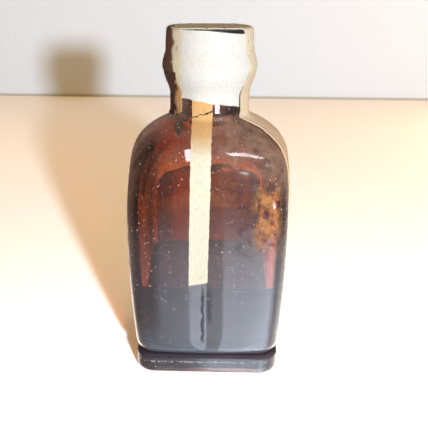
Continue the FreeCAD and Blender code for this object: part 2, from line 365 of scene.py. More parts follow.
def swollen_square(angle, half, corner):
    """Distance from the axis to a round-cornered square with slightly convex sides."""
    side = ((half - corner) ** 2 + BULGE**2) / (2 * BULGE)
    back = side - half
    corner_at = (np.sqrt(2 * (side - corner) ** 2 - back**2) - back) / 2
    turn = octant(angle)
    reach = side / (side - corner)
    joint = np.arctan2(corner_at * reach, (corner_at + back) * reach - back)
    on_side = np.sqrt(side**2 - (back * np.sin(turn)) ** 2) - back * np.cos(turn)
    along = corner_at * (np.cos(turn) + np.sin(turn))
    on_corner = along + np.sqrt(np.maximum(along**2 - 2 * corner_at**2 + corner**2, 0))
    return np.where(turn < joint, on_side, on_corner)


def flat_square(angle, half, corner):
    """Distance from the axis to a round-cornered square with flat sides."""
    turn = octant(angle)
    flat = half - corner
    along = flat * (np.cos(turn) + np.sin(turn))
    on_corner = along + np.sqrt(np.maximum(along**2 - 2 * flat**2 + corner**2, 0))
    return np.where(turn < math.atan2(flat, half), half / np.cos(turn), on_corner)


def body_section(angle, z, inset, base_z, top_radius, top_z, round_corner):
    """Distance from the axis to the body's skin, moved in by inset."""
    widest, base = BODY_HALF - inset, BASE_HALF - inset
    z = np.asarray(z, float)
    down = np.clip((WIDEST_Z - z) / (WIDEST_Z - base_z), 0, 1)
    into_heel = np.clip(1 - (z - base_z) / HEEL_RISE, 0, 1)
    low_half = widest - (widest - base) * down**2
    low_half = low_half - HEEL_DEPTH * (1 - np.sqrt(1 - into_heel**2))
    up = np.clip((z - WIDEST_Z) / (top_z - WIDEST_Z), 0, 1)
    high_half = top_radius + (widest - top_radius) * (1 - up**FULLNESS) ** DOME
    half = np.where(z <= WIDEST_Z, low_half, high_half)
    corner = np.minimum(round_corner, 0.9 * half)
    square = swollen_square(angle, half, corner)
    return square + (half - square) * up**SQUARENESS


def neck_profile(z, offset=0.0):
    """Radius of the neck and its bead, with the round at its root."""
    z = np.asarray(z, float)
    below = np.clip((BEAD_Z - z) / BEAD_FALL, 0, 1)
    above = np.clip((z - BEAD_Z) / BEAD_RISE, 0, 1)
    flank = NECK_RADIUS + (BEAD_RADIUS - NECK_RADIUS) * (1 - below**2) ** 2
    crown = FINISH_RADIUS + (BEAD_RADIUS - FINISH_RADIUS) * (1 - above**2)
    root = np.clip((NECK_Z + ROOT_ROUND - z) / (3 * ROOT_ROUND), 0, 1)
    return np.where(z < BEAD_Z, flank, crown) + 2 * ROOT_ROUND * root**1.775 + offset


def skin_radius(angle, z, offset=0.0):
    """Distance from the axis to the bottle's outside above the foot."""
    body = body_section(
        angle, z, -offset, FOOT_Z, NECK_RADIUS + offset, NECK_Z + offset, CORNER + offset
    )
    neck = neck_profile(z, offset)
    over = np.asarray(z) > NECK_Z - 2 * ROOT_ROUND
    joined = (body + neck + np.sqrt((body - neck) ** 2 + ROOT_BLEND**2)) / 2
    return np.where(over, np.where(np.asarray(z) > NECK_Z, neck, joined), body)


def cavity_radius(angle, z, inward=0.0):
    """Distance from the axis to the inside of the body, moved in by inward."""
    floor, top = FLOOR_Z + inward, CAVITY_TOP_Z
    return body_section(angle, z, WALL + inward, floor, CAVITY_TOP_RADIUS, top, CAVITY_CORNER)


def valley(points):
    """Press the front and back in along the mould seam, fading out to the foot and neck."""
    x, y, z = points[..., 0], points[..., 1], points[..., 2]
    near = np.clip(1 - np.abs(x) / VALLEY_HALF, 0, 1) ** 2
    fade = np.clip((z - FOOT_Z) / 5, 0, 1) * np.clip((NECK_Z - 2 - z) / 10, 0, 1)
    pressed = points.copy()
    pressed[..., 1] = y - np.sign(y) * VALLEY_DEPTH * near * fade * (np.abs(y) > NECK_RADIUS)
    return pressed


# %% [markdown]
# The points of a ring crowd together at the corners, where the glass turns
# fastest. The outline runs from the middle of the sole, up the outside, over
# the lip and down the inside to the floor, so the glass is one closed skin
# with a real wall, and light bends through it twice as it does in a bottle.

# %% The glass's rings
RING_POINTS = 240
spread = np.linspace(0, TAU, RING_POINTS, endpoint=False)
ANGLES = spread + 0.13 * np.sin(4 * spread)


def around(radius, angles, z):
    """Points from distances to the axis, directions and heights."""
    return np.stack([radius * np.cos(angles), radius * np.sin(angles), np.full_like(angles, z)], -1)


def ring(radius, z):
    """A level ring of points from distances at ANGLES."""
    return around(radius, ANGLES, z)


def foot_ring(half, z, corner=None):
    corner = FOOT_CORNER - (FOOT_HALF - half) if corner is None else corner
    return ring(flat_square(ANGLES, half, max(corner, 0.2 * half)), z)


def quarter(steps):
    return [math.pi / 2 * i / steps for i in range(steps + 1)]


def sole_rings():
    """From the hollow under the foot, over its rim and up to the body's heel."""
    hollow = FOOT_HALF - SOLE_RIM
    rings = [foot_ring(hollow * s, SOLE_RECESS, 2.4 * s) for s in (0.2, 0.45, 0.7, 0.9)]
    rings += [foot_ring(hollow - 0.4, SOLE_RECESS, 2.2), foot_ring(hollow - 0.1, 0.55, 2.3)]
    rings += [foot_ring(hollow, 0.2, 2.4), foot_ring(hollow + 0.25, 0.0, 2.5)]
    for turn in quarter(8):
        inward = SOLE_ROUND * (1 - math.sin(turn))
        rings.append(foot_ring(FOOT_HALF - inward, SOLE_ROUND * (1 - math.cos(turn))))
    for z in (2.6, 3.6, 4.6):
        rings.append(foot_ring(FOOT_HALF, z))
    for turn in quarter(6):
        inward = FOOT_TOP_ROUND * (1 - math.cos(turn))
        rings.append(foot_ring(FOOT_HALF - inward, FOOT_Z - FOOT_TOP_ROUND * (1 - math.sin(turn))))
    return rings


def body_rings():
    """From the heel up to the lip."""
    heights = [FOOT_Z + HEEL_RISE * (1 - math.cos(turn)) for turn in quarter(12)]
    heights += list(np.linspace(12, 60, 25)) + list(np.linspace(60.8, 79.6, 36))
    heights += list(np.linspace(80.1, BEAD_Z + BEAD_RISE, 40))
    rings = [valley(ring(skin_radius(ANGLES, z), z)) for z in heights]
    rings += [ring(FINISH_RADIUS, z) for z in (98.5, 100.5, LIP_Z - LIP_ROUND)]
    for turn in quarter(4)[1:]:
        radius = FINISH_RADIUS - LIP_ROUND + LIP_ROUND * math.cos(turn)
        rings.append(ring(radius, LIP_Z - LIP_ROUND + LIP_ROUND * math.sin(turn)))
    return rings


def cavity_rings():
    """From the lip down the bore and the inside of the body to the floor."""
    mouth = ((0.4, 0.0), (0.1, 0.15), (0.0, LIP_ROUND))
    rings = [ring(BORE_RADIUS + wider, LIP_Z - below) for wider, below in mouth]
    rings += [ring(BORE_RADIUS, z) for z in np.linspace(101, CAVITY_TOP_Z + 3, 12)]
    flare = CAVITY_TOP_RADIUS - BORE_RADIUS
    rings += [ring(BORE_RADIUS + flare * s**2, CAVITY_TOP_Z + 3 * (1 - s)) for s in (0.3, 0.6, 0.85)]
    heights = list(np.linspace(CAVITY_TOP_Z, 58, 40)) + list(np.linspace(56, 13, 24))
    heights += [FLOOR_Z + HEEL_RISE * (1 - math.cos(turn)) for turn in quarter(10)[::-1]]
    rings += [ring(cavity_radius(ANGLES, z), z) for z in heights]
    rings += [ring(cavity_radius(ANGLES, FLOOR_Z) * s, FLOOR_Z) for s in (0.9, 0.7, 0.45, 0.2)]
    return rings


glass_rings = sole_rings() + body_rings() + cavity_rings()
print("glass skin:", len(glass_rings), "rings of", RING_POINTS, "points")

# %% [markdown]
# ## Amber glass
# Amber bottle glass is soda-lime glass coloured through and through, so its
# colour comes from how far light has travelled in it: a thin wall looks
# orange, and the foot looks almost black. A Volume Absorption does just that.
# The skin is a clear Principled shader with the IOR of bottle glass. Lamps
# can't shine through a refracting skin in a path tracer, so for shadow and
# diffuse rays the skin is simply open, and the volume still tints the light.
# Years of handling leave white dust and brown glue on it, as thin matt layers masked by noise. Dust
# settles where the glass faces up, and how much of it lies there is worked out from the mesh and stored
# at each point, with more towards the right and a painted pale rim on the left and right side faces.
# Some matt layers are painted light: shade down the left front corner and along the left of the foot,
# an orange glow of light through the amber over streaks of residue, a blue-grey reflection at the heel,
# and a highlight on the round of the sole.

# %% Amber glass
AMBER_PER_METRE = (85.0, 270.0, 540.0)  # light taken from red, green and blue


def specks(tree, where, spacing, size, kept):
    """Scattered grains of dust, of a size and about a spacing apart in millimetres."""
    cells = add(tree, "ShaderNodeTexVoronoi", {"Vector": where, "Scale": 1 / (spacing * MM)})
    near = span(tree, cells.outputs["Distance"], size / spacing, 0.4 * size / spacing)
    return times(tree, near, span(tree, cells.outputs["Color"], 1 - kept, 1.03 - kept))


def within(tree, *limits):
    """1 inside all limits, each as a coordinate, two values in millimetres and a softness."""
    edges = []
    for value, low, high, soft in limits:
        edges.append(span(tree, value, (low - soft) * MM, (low + soft) * MM))
        edges.append(span(tree, value, (high + soft) * MM, (high - soft) * MM))
    return times(tree, *edges)


def clear_skin(tree, where):
    """The refracting skin of the glass, open to shadow and diffuse rays."""
    skin = add(
        tree,
        "ShaderNodeBsdfPrincipled",
        {
            "Base Color": (1.0, 1.0, 1.0, 1.0),
            "Roughness": 0.015,
            "IOR": 1.52,
            "Transmission Weight": 1.0,
            "Normal": bumped(tree, lumps(tree, where, 9, 1.0), 0.06, 0.6),
            "Sheen Weight": 0.45,
            "Sheen Roughness": 0.3,
            "Sheen Tint": linear("#e8bd8c"),
        },
    )
    rays = add(tree, "ShaderNodeLightPath").outputs
    lit = calc(tree, "MAXIMUM", rays["Is Shadow Ray"], rays["Is Diffuse Ray"])
    opened = add(tree, "ShaderNodeBsdfTransparent", {"Color": (0.93, 0.93, 0.93, 1.0)})
    return mixed(tree, lit, skin.outputs[0], opened.outputs[0])


def amber_glass():
    material, tree, where = new_material("amber_glass_blown")
    x, y, z = axes(tree, where)
    settled_dust_and_rim = add(tree, "ShaderNodeAttribute", attribute_name="dust_and_rim_glow").outputs["Fac"]
    cloudy = noise_mask(tree, where, 4, 0.36, 0.64, 7.0)
    dust_and_rim_film = times(tree, settled_dust_and_rim, calc(tree, "MULTIPLY_ADD", cloudy, 0.8, 0.6))

    outside = span(tree, settled_dust_and_rim, 0.0, 0.02)
    front = times(tree, outside, span(tree, y, -15 * MM, -18 * MM))
    # Painted shade: a dark brown layer down the left front corner and along the left of the foot, the
    # side away from the key lamp.
    corner = within(tree, (x, -22.8, -15.0, 2.0), (z, 14, 82, 8))
    foot_shade = times(tree, within(tree, (x, -26, -4, 5.0), (z, 0, 5.6, 0.5)), 0.8)
    forward = span(tree, y, -8 * MM, -13 * MM)
    painted_shade = times(tree, calc(tree, "MAXIMUM", corner, foot_shade), outside, 0.5, forward)

    # Partly residue and partly painted light: streaks of a pale orange layer stand in for bright light
    # shining through the amber where the back label's edge is eaten away.
    streaky = add(tree, "ShaderNodeMapping", {"Vector": where, "Scale": (1.0, 1.0, 0.5)}).outputs[0]
    runs = noise_mask(tree, streaky, 2.2, 0.42, 0.52, 7.0)
    residue_and_glow = times(tree, runs, within(tree, (x, 14.5, 21.5, 1.8), (z, 44, 63, 5)), front, 0.7)
    blots = noise_mask(tree, where, 2.4, 0.47, 0.6, 8.0)
    stained = times(tree, blots, within(tree, (x, 8, 24, 3), (z, 42, 68, 5)), front, 0.5)

    weave = calc(tree, "MULTIPLY_ADD", lumps(tree, where, 2.2, 5.0), 1.6 * MM, x)
    line = within(tree, (weave, -0.9, 0.0, 0.12), (z, 12, 30, 1.5))
    smear = times(tree, within(tree, (weave, 0.9, 2.3, 0.5), (z, 19, 30, 2.0)), 0.6)
    glue = times(tree, calc(tree, "MAXIMUM", line, smear), front, 0.75)

    coarse, fine = specks(tree, where, 1.6, 0.23, 0.56), specks(tree, where, 0.7, 0.13, 0.6)
    grains = times(tree, calc(tree, "MAXIMUM", coarse, times(tree, fine, 0.6)), outside)

    groove = times(tree, within(tree, (z, 5.7, 8.2, 0.3)), outside, 0.86)
    # Painted reflection: a pale blue-grey band at the heel, where the front mirrors the bright table.
    heel_reflection = times(tree, within(tree, (z, 7.0, 8.7, 0.3), (x, -20, 20, 4)), front, 0.5)
    # A dotted pale line round the front of the foot.
    dotted_mask = noise_mask(tree, where, 0.9, 0.45, 0.6)
    dotted_pale_line = times(tree, within(tree, (z, 3.9, 4.5, 0.25)), dotted_mask, front, 0.6)
    # Painted highlight: a pale band on the round of the sole, on the right of the front.
    sole_highlight = times(tree, within(tree, (z, 1.3, 2.3, 0.5), (x, 0, 19, 5)), front, 0.3)

    surface = clear_skin(tree, where)
    for amount, layer_colour in (
        (dust_and_rim_film, "#b58f7c"),
        (painted_shade, "#40261b"),
        (residue_and_glow, "#e2a05e"),
        (stained, "#563c3c"),
        (glue, "#3c3b42"),
        (grains, "#efe9e2"),
        (groove, "#4a4756"),
        (heel_reflection, "#8793a1"),
        (dotted_pale_line, "#ece6e8"),
        (sole_highlight, "#dfe3ee"),
    ):
        surface = mixed(tree, amount, surface, matt(tree, layer_colour))
    deepest = max(AMBER_PER_METRE)
    taken = tuple(1 - a / deepest for a in AMBER_PER_METRE) + (1.0,)
    amber = add(tree, "ShaderNodeVolumeAbsorption", {"Color": taken, "Density": deepest})
    add(tree, "ShaderNodeOutputMaterial", {"Surface": surface, "Volume": amber.outputs[0]})
    return material


def settle_dust_and_rim_glow(bottle, outer_count):
    """Store at each point how much dust lies there, most where the glass faces up and more to the
    right, plus a painted pale rim on the side faces; none inside.
    """
    mesh = bottle.data
    dust_and_rim_glow = np.zeros(len(mesh.vertices))
    normals = np.zeros(len(mesh.vertices) * 3)
    places = np.zeros(len(mesh.vertices) * 3)
    mesh.vertices.foreach_get("co", places)
    mesh.vertex_normals.foreach_get("vector", normals)
    normal_x, _, normal_z = normals.reshape(-1, 3)[:outer_count].T
    x, _, z = places.reshape(-1, 3)[:outer_count].T / MM
    # Painted light: a pale rim layer on the left and right side faces, standing in for light the glass
    # lets through at its edges.
    left = np.clip((-normal_x - 0.4) / 0.3, 0, 1) * np.clip((z - 26) / 10, 0, 1)
    right = np.clip((normal_x - 0.75) / 0.2, 0, 1) * np.clip(z / 10 - 0.8, 0, 1)
    facing_up = np.clip((normal_z - 0.03) / 0.5, 0, 1)
    facing_up = facing_up**2 * (3 - 2 * facing_up)
    to_right = np.clip((x + 12) / 26, 0, 1)
    on_top = facing_up * (0.1 + 0.5 * to_right)
    dust_and_rim_glow[:outer_count] = 0.03 + 0.04 * to_right + on_top + 0.38 * left + 0.3 * right
    layer = mesh.attributes.new("dust_and_rim_glow", "FLOAT", "POINT")
    layer.data.foreach_set("value", dust_and_rim_glow)


AMBER = amber_glass()
glass_bottle = ring_skin("bottle_glass", glass_rings, AMBER)
settle_dust_and_rim_glow(glass_bottle, RING_POINTS * (len(glass_rings) - len(cavity_rings())))
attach(glass_bottle, "bottle")
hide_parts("glass_bottle")
print("bottle_glass:", len(glass_bottle.data.polygons), "faces")

# %% [markdown]
# ## Liquid
# The reagent is so dark that no light comes back out of it, so it is a black
# body with the IOR of water. It reaches a hair into the glass, because a gap
# of air there would mirror like silver, and it creeps up the wall by half a
# millimetre in a meniscus.

# %% Liquid
LIQUID_Z = round(millimetres("liquid")[1].z, 1)
INTO_GLASS = 0.1


def liquid_rings():
    floor = FLOOR_Z - INTO_GLASS
    rings = [ring(cavity_radius(ANGLES, floor, -INTO_GLASS) * s, floor) for s in (0.3, 0.6, 0.9)]
    heights = [floor + HEEL_RISE * (1 - math.cos(t)) for t in quarter(8)]
    heights += list(np.linspace(14, LIQUID_Z + 0.4, 7))
    rings += [ring(cavity_radius(ANGLES, z, -INTO_GLASS), z) for z in heights]
    for inward, rise in ((0.15, 0.28), (0.5, 0.14), (1.0, 0.05), (1.7, 0.01), (2.9, 0.0)):
        rings.append(ring(cavity_radius(ANGLES, LIQUID_Z, inward), LIQUID_Z + rise))
    rings += [ring(cavity_radius(ANGLES, LIQUID_Z, 2.9) * s, LIQUID_Z) for s in (0.6, 0.25)]
    return rings


def dark_reagent():
    material, tree, where = new_material("dark_reagent_liquid")
    tint = ramp(tree, lumps(tree, where, 12), [(0.3, linear("#0b0806")), (0.8, linear("#140d0a"))])
    scum = span(tree, axes(tree, where)["Z"], (LIQUID_Z - 0.3) * MM, (LIQUID_Z - 0.1) * MM)
    tone = blend(tree, scum, tint, "#2a1f1a")
    opaque(tree, {"Base Color": tone, "Roughness": span(tree, scum, 0.0, 1.0, 0.03, 0.5), "IOR": 1.33})
    return material


liquid = ring_skin("reagent_liquid", liquid_rings(), dark_reagent())
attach(liquid, "bottle")
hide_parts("liquid")
print("liquid stands", LIQUID_Z, "high")


# %% [markdown]
# ## Threads
# A screw thread is one profile carried along a helix, so Geometry Nodes make
# it: a Spiral curve, a four-sided profile, and Curve to Mesh. The same tree
# cuts the bottle's thread, which stands out, and the cap's, which stands in.

# %% Geometry Nodes helpers
def node_inputs(name, inputs):
    """A geometry tree with named number inputs, and its input and output nodes."""
    tree = bpy.data.node_groups.new(name, "GeometryNodeTree")
    for label in inputs:
        tree.interface.new_socket(label, in_out="INPUT", socket_type="NodeSocketFloat")
    tree.interface.new_socket("Geometry", in_out="OUTPUT", socket_type="NodeSocketGeometry")
    return tree, add(tree, "NodeGroupInput"), add(tree, "NodeGroupOutput")


def end_tree(tree, out, shape, material):
    """Realize the instances, set the material and send the result out."""
    real = add(tree, "GeometryNodeRealizeInstances", {"Geometry": shape})
    painted = add(tree, "GeometryNodeSetMaterial", {"Geometry": real.outputs[0], "Material": material})
    tree.links.new(painted.outputs[0], out.inputs[0])


def grow(name, tree, values):
    """Run a tree on a new object and keep the result as a plain mesh."""
    obj = bpy.data.objects.new(name, bpy.data.meshes.new(name))
    bpy.context.scene.collection.objects.link(obj)
    modifier = obj.modifiers.new("grow", "NODES")
    modifier.node_group = tree
    for item in tree.interface.items_tree:
        if item.in_out == "INPUT":
            modifier[item.identifier] = float(values[item.name])
    shaped = obj.evaluated_get(bpy.context.evaluated_depsgraph_get())
    mesh = bpy.data.meshes.new_from_object(shaped)
    obj.modifiers.clear()
    obj.data = mesh
    tidy_mesh(mesh, 40, weld=0.002)
    print(name, len(mesh.polygons), "faces")
    return obj


# %% Threads on the bottle and in the cap
PITCH = 2.8
THREAD_HEIGHT = 0.75
THREAD_BASE = 1.2
THREAD_CREST = 0.5
THREAD_SUNK = 0.3
THREAD_TURNS = 1.5
THREAD_TOP = LIP_Z - 1.0 - THREAD_BASE / 2
CAP_TURNS = 1.25


def thread_tree(material):
    tree, into, out = node_inputs(
        "screw_thread",
        ("Middle Radius", "Depth", "Root Width", "Crest Width", "Turns", "Rise", "Start"),
    )
    asked = into.outputs
    helix = add(
        tree,
        "GeometryNodeCurveSpiral",
        {
            "Resolution": 96,
            "Rotations": asked["Turns"],
            "Start Radius": asked["Middle Radius"],
            "End Radius": asked["Middle Radius"],
            "Height": asked["Rise"],
        },
    ).outputs[0]
    upright = add(tree, "GeometryNodeSetCurveNormal", {"Curve": helix}, mode="Z_UP").outputs[0]
    section = add(
        tree,
        "GeometryNodeCurvePrimitiveQuadrilateral",
        {
            "Height": asked["Depth"],
            "Bottom Width": asked["Root Width"],
            "Top Width": asked["Crest Width"],
            "Offset": 0.0,
        },
        mode="TRAPEZOID",
    ).outputs[0]
    turned = {"Geometry": section, "Rotation": (0.0, 0.0, math.pi / 2)}
    profile = add(tree, "GeometryNodeTransform", turned).outputs[0]
    swept = {"Curve": upright, "Profile Curve": profile, "Fill Caps": True}
    ridge = add(tree, "GeometryNodeCurveToMesh", swept).outputs[0]
    shift = add(tree, "ShaderNodeCombineXYZ", {"Z": asked["Start"]}).outputs[0]
    placed = add(tree, "GeometryNodeTransform", {"Geometry": ridge, "Translation": shift})
    end_tree(tree, out, placed.outputs[0], material)
    return tree


def cut_thread(name, material, wall_radius, outward, start, turns):
    """A ridge from just inside its wall to its crest."""
    side = 1 if outward else -1
    middle = wall_radius + side * (THREAD_HEIGHT - THREAD_SUNK) / 2
    widths = (THREAD_BASE, THREAD_CREST) if outward else (THREAD_CREST, THREAD_BASE)
    values = {
        "Middle Radius": middle * MM,
        "Depth": (THREAD_HEIGHT + THREAD_SUNK) * MM,
        "Root Width": widths[0] * MM,
        "Crest Width": widths[1] * MM,
        "Turns": turns,
        "Rise": PITCH * turns * MM,
        "Start": start * MM,
    }
    return grow(name, thread_tree(material), values)


bottle_thread = cut_thread(
    "bottle_thread", AMBER, FINISH_RADIUS, True, THREAD_TOP - PITCH * THREAD_TURNS, THREAD_TURNS
)
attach(bottle_thread, "bottle")

# %% [markdown]
# ## Cap
# Caps of this age were moulded in black phenolic resin, which is hard, deep
# black and only half shiny once handled. The shell is a stack of rings, and
# fine upright ribs for the fingers go round it, repeated by Geometry Nodes.

# %% Cap
cap_low, cap_high = millimetres("screw_cap")
CAP_RADIUS = round(cap_high.x, 1)
CAP_TOP_Z = round(cap_high.z, 1)
CAP_BOTTOM_Z = round(cap_low.z, 1)
CAP_BORE = CAP_RADIUS - 1.25
CAP_ROUND = 0.7
CAP_UNDERSIDE_Z = LIP_Z + 1.4
RIB_COUNT = 90
RIB_RADIUS = 0.32
RIB_LOW, RIB_HIGH = 98.9, 104.2


def black_phenolic():
    material, tree, where = new_material("black_phenolic_moulded")
    dusty = noise_mask(tree, where, 1.4, 0.5, 0.75, 6.0)
    opaque(
        tree,
        {
            "Base Color": blend(tree, dusty, "#121013", "#2c2826"),
            "Roughness": span(tree, dusty, 0.0, 1.0, 0.28, 0.55, "LINEAR"),
            "IOR": 1.6,
            "Normal": bumped(tree, lumps(tree, where, 0.5, 3.0), 0.15, 0.05),
        },
    )
    return material


def cap_rings():
    """From the middle of the top, down the outside and up the inside."""
    inner = CAP_RADIUS - RIB_RADIUS
    outline = [(r, CAP_TOP_Z) for r in (3.0, 6.0, 9.0, 11.4)]
    middle, height = CAP_RADIUS - CAP_ROUND, CAP_TOP_Z - CAP_ROUND
    outline += [
        (middle + CAP_ROUND * math.sin(t), height + CAP_ROUND * math.cos(t)) for t in quarter(6)
    ]
    outline += [(CAP_RADIUS, RIB_HIGH + 0.5), (inner, RIB_HIGH + 0.1)]
    outline += [(inner, RIB_LOW - 0.1), (CAP_RADIUS, RIB_LOW - 0.5)]
    outline += [(CAP_RADIUS, CAP_BOTTOM_Z + 0.3), (CAP_RADIUS - 0.3, CAP_BOTTOM_Z)]
    outline += [(CAP_BORE + 0.2, CAP_BOTTOM_Z), (CAP_BORE, CAP_BOTTOM_Z + 0.3)]
    outline += [(CAP_BORE, CAP_UNDERSIDE_Z)]
    outline += [(r, CAP_UNDERSIDE_Z) for r in (9.0, 5.0, 2.0)]
    turns = np.linspace(0, TAU, 180, endpoint=False)
    return [around(r, turns, z) for r, z in outline]


def rib_tree(material):
    tree, into, out = node_inputs("grip_ribs", ("Count", "Circle", "Thickness", "Height", "Middle"))
    asked = into.outputs
    shift = add(tree, "ShaderNodeCombineXYZ", {"Z": asked["Middle"]}).outputs[0]
    size = {"Resolution": 128, "Radius": asked["Circle"]}
    circle = add(tree, "GeometryNodeCurvePrimitiveCircle", size).outputs[0]
    lifted = {"Geometry": circle, "Translation": shift}
    placed = add(tree, "GeometryNodeTransform", lifted).outputs[0]
    spaced = {"Curve": placed, "Count": asked["Count"]}
    spots = add(tree, "GeometryNodeCurveToPoints", spaced).outputs[0]
    rib = add(
        tree,
        "GeometryNodeMeshCylinder",
        {"Vertices": 8, "Radius": asked["Thickness"], "Depth": asked["Height"]},
        fill_type="TRIANGLE_FAN",
    ).outputs["Mesh"]
    ribs = add(tree, "GeometryNodeInstanceOnPoints", {"Points": spots, "Instance": rib})
    end_tree(tree, out, ribs.outputs[0], material)
    return tree


PHENOLIC = black_phenolic()
cap_shell = ring_skin("cap_shell", cap_rings(), PHENOLIC)
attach(cap_shell, "cap")
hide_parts("screw_cap")
rib_values = {
    "Count": RIB_COUNT,
    "Circle": (CAP_RADIUS - RIB_RADIUS - 0.02) * MM,
    "Thickness": RIB_RADIUS * MM,
    "Height": (RIB_HIGH - RIB_LOW) * MM,
    "Middle": (RIB_HIGH + RIB_LOW) / 2 * MM,
}
cap_ribs = grow("cap_grip_ribs", rib_tree(PHENOLIC), rib_values)
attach(cap_ribs, "cap")

cap_start = THREAD_TOP - PITCH * THREAD_TURNS + PITCH / 2
while cap_start - PITCH > CAP_BOTTOM_Z + THREAD_BASE / 2:
    cap_start -= PITCH
cap_thread = cut_thread("cap_thread", PHENOLIC, CAP_BORE, False, cap_start, CAP_TURNS)
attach(cap_thread, "cap")
print("cap", 2 * CAP_RADIUS, "across")

# %% [markdown]
# ## Liner
# The cap seals on a disc of pulp board with a smooth waxed face. The two
# solids are already the right shape, so they stay, and only get materials:
# board with fibres and specks in it, and a face stained by the neck's ring.

# %% Liner
def pulp_board():
    material, tree, where = new_material("pulp_board_pressed")
    fibre = lumps(tree, where, 0.8, 8.0)
    tint = ramp(tree, fibre, [(0.3, linear("#8f7a58")), (0.7, linear("#c6b187"))])
    opaque(tree, {"Base Color": tint, "Roughness": 0.9, "Normal": bumped(tree, fibre, 0.4, 0.1)})
    return material


def waxed_facing():
    material, tree, where = new_material("waxed_paper_facing")
    flat = vectors(tree, "MULTIPLY", {0: where, 1: (1.0, 1.0, 0.0)}).outputs[0]
    away = vectors(tree, "LENGTH", {0: flat}).outputs["Value"]
    ring_mark = span(tree, away, 7.2 * MM, 8.4 * MM, kind="LINEAR")
    stain = times(tree, ring_mark, noise_mask(tree, where, 2.5, 0.35, 0.7, 4.0))
    opaque(tree, {"Base Color": blend(tree, stain, "#ddd6bf", "#8a6238"), "Roughness": 0.35})
    return material


for node, made in (("liner_backing", pulp_board()), ("liner_facing", waxed_facing())):
    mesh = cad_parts[node].data
    mesh.materials.clear()
    mesh.materials.append(made)
print("liner solids painted")


# %% [markdown]
# ## Papers
# Each strip of paper is a grid of points laid on the glass or the cap and
# given its thickness. A cloth simulation would be another way, but these are
# pasted down hard, so what counts is that they follow the shape below, wave a
# little where the paste has dried, and have torn or cut edges. A point of a
# paper is found from how far it is across the face and how high it stands.

# %% Laying paper on the glass
BAND_HALF = 8.8
PAPER = 0.25
BAND_PAPER = 0.3
FRONT, RIGHT, BACK, LEFT = (math.radians(a) for a in (-90, 0, 90, 180))


def on_glass(across, height, facing, lift):
    """Points at a distance across a face and a height, standing off the glass by lift."""
    across, height, lift = np.broadcast_arrays(across, height, lift)
    turn = np.zeros_like(across, dtype=float)
    for _ in range(30):
        radius = skin_radius(facing + turn, height)
        turn = np.arcsin(np.clip(across / radius, -0.98, 0.98))
    radius = skin_radius(facing + turn, height)
    points = valley(around(radius, facing + turn, height))
    normals = grid_normals(points)
    normals = normals * np.sign((normals * (points * (1, 1, 0) + (0, 0, 10))).sum())
    return points + normals * lift[..., None]


def even_heights(low, high, facing, steps):
    """Heights that are evenly spaced along the slope of the glass at a face's middle."""
    fine = np.linspace(low, high, 600)
    radius = skin_radius(facing, fine)
    run = np.concatenate([[0], np.cumsum(np.hypot(np.diff(fine), np.diff(radius)))])
    return np.interp(np.linspace(0, run[-1], steps), run, fine)


def jitter(count, size, seed, step=0.35):
    """A line of smooth random steps, for a torn or cut edge."""
    line = np.stack([np.arange(count) * step, np.zeros(count), np.zeros(count)], 1)
    return waves(line, size, seed)


def crumple(points, depth, size, seed):
    """Push a grid of points in and out along its own normals."""
    normals = grid_normals(points)
    height = waves(points, size, seed) * 0.65 + waves(points, size / 2.7, seed + 3) * 0.35
    return points + normals * (depth * height)[..., None]


# %% [markdown]
# The papers share one recipe: a pasted rag or kraft paper, matt, with fibres that show as faint streaks
# and a tooth that shows as a fine bump. They differ in colour, and in a second colour they go over to
# along one axis: on the strip, the peach leg and the back label it is paste dried dark, on the brown
# band and its left leg it is painted shade, and on the white label it is a painted warm tint.

# %% Paper material
WAVER = 4.0


def pasted_paper(name, pale, stained, stain_from, stain_to, axis, spots, spot_from):
    """Paper that goes from a pale colour to a second one along an axis, in millimetres: a stain on some
    papers, painted shade or a painted tint on others.
    """
    material, tree, where = new_material(name)
    wander = lumps(tree, where, 3, 4.0)
    place = calc(tree, "MULTIPLY_ADD", wander, WAVER * MM, axes(tree, where)[axis])
    stain = span(tree, place, (stain_from + WAVER / 2) * MM, (stain_to + WAVER / 2) * MM)
    blot = times(tree, noise_mask(tree, where, 1.3, spot_from, spot_from + 0.16, 6.0), 0.7)
    tint = blend(tree, blot, blend(tree, stain, pale, stained), spots)
    lengthwise = add(tree, "ShaderNodeMapping", {"Vector": where, "Scale": (1.0, 1.0, 0.25)})
    fibre = lumps(tree, lengthwise.outputs[0], 0.45, 6.0)
    shade = span(tree, fibre, 0.3, 0.7, 0.9, 1.04, "LINEAR")
    opaque(
        tree,
        {
            "Base Color": vectors(tree, "MULTIPLY", {0: tint, 1: shade}).outputs[0],
            "Roughness": 0.88,
            "Specular IOR Level": 0.15,
            "Normal": bumped(tree, fibre, 0.5, 0.12),
        },
    )
    return material


# %% [markdown]
# The crossing band goes from the left leg up the cap, over its top and down to the right leg. Its
# colour goes from a pale peach on the right to a dark brown on the left: painted light and shade for
# the key lamp falling from the right.

# %% Band over the cap
CAP_PAPER_OUTLINE = [
    (14.15, 93.75), (14.3, 94.4), (14.28, 95.4), (14.0, 96.6), (13.6, 97.8),
    (13.32, 98.8), (13.2, 100.5), (13.1, 102.5), (13.0, 104.4), (12.96, 105.2),
]
CAP_PAPER_TOP = 106.05
BEND_RADIUS, BEND_Z = 12.11, 105.2
BEND_ROUND = 0.85


def cap_outline(steps, top):
    """Radius and height up the side of the papers on the cap, then round to its top."""
    low = np.array(CAP_PAPER_OUTLINE)
    run = np.concatenate([[0], np.cumsum(np.hypot(*np.diff(low, axis=0).T))])
    even = np.linspace(0, run[-1], steps)
    side = [(np.interp(s, run, low[:, 0]), np.interp(s, run, low[:, 1])) for s in even]
    if not top:
        return side
    return side + [
        (BEND_RADIUS + BEND_ROUND * math.cos(t), BEND_Z + BEND_ROUND * math.sin(t))
        for t in quarter(7)[1:]
    ]


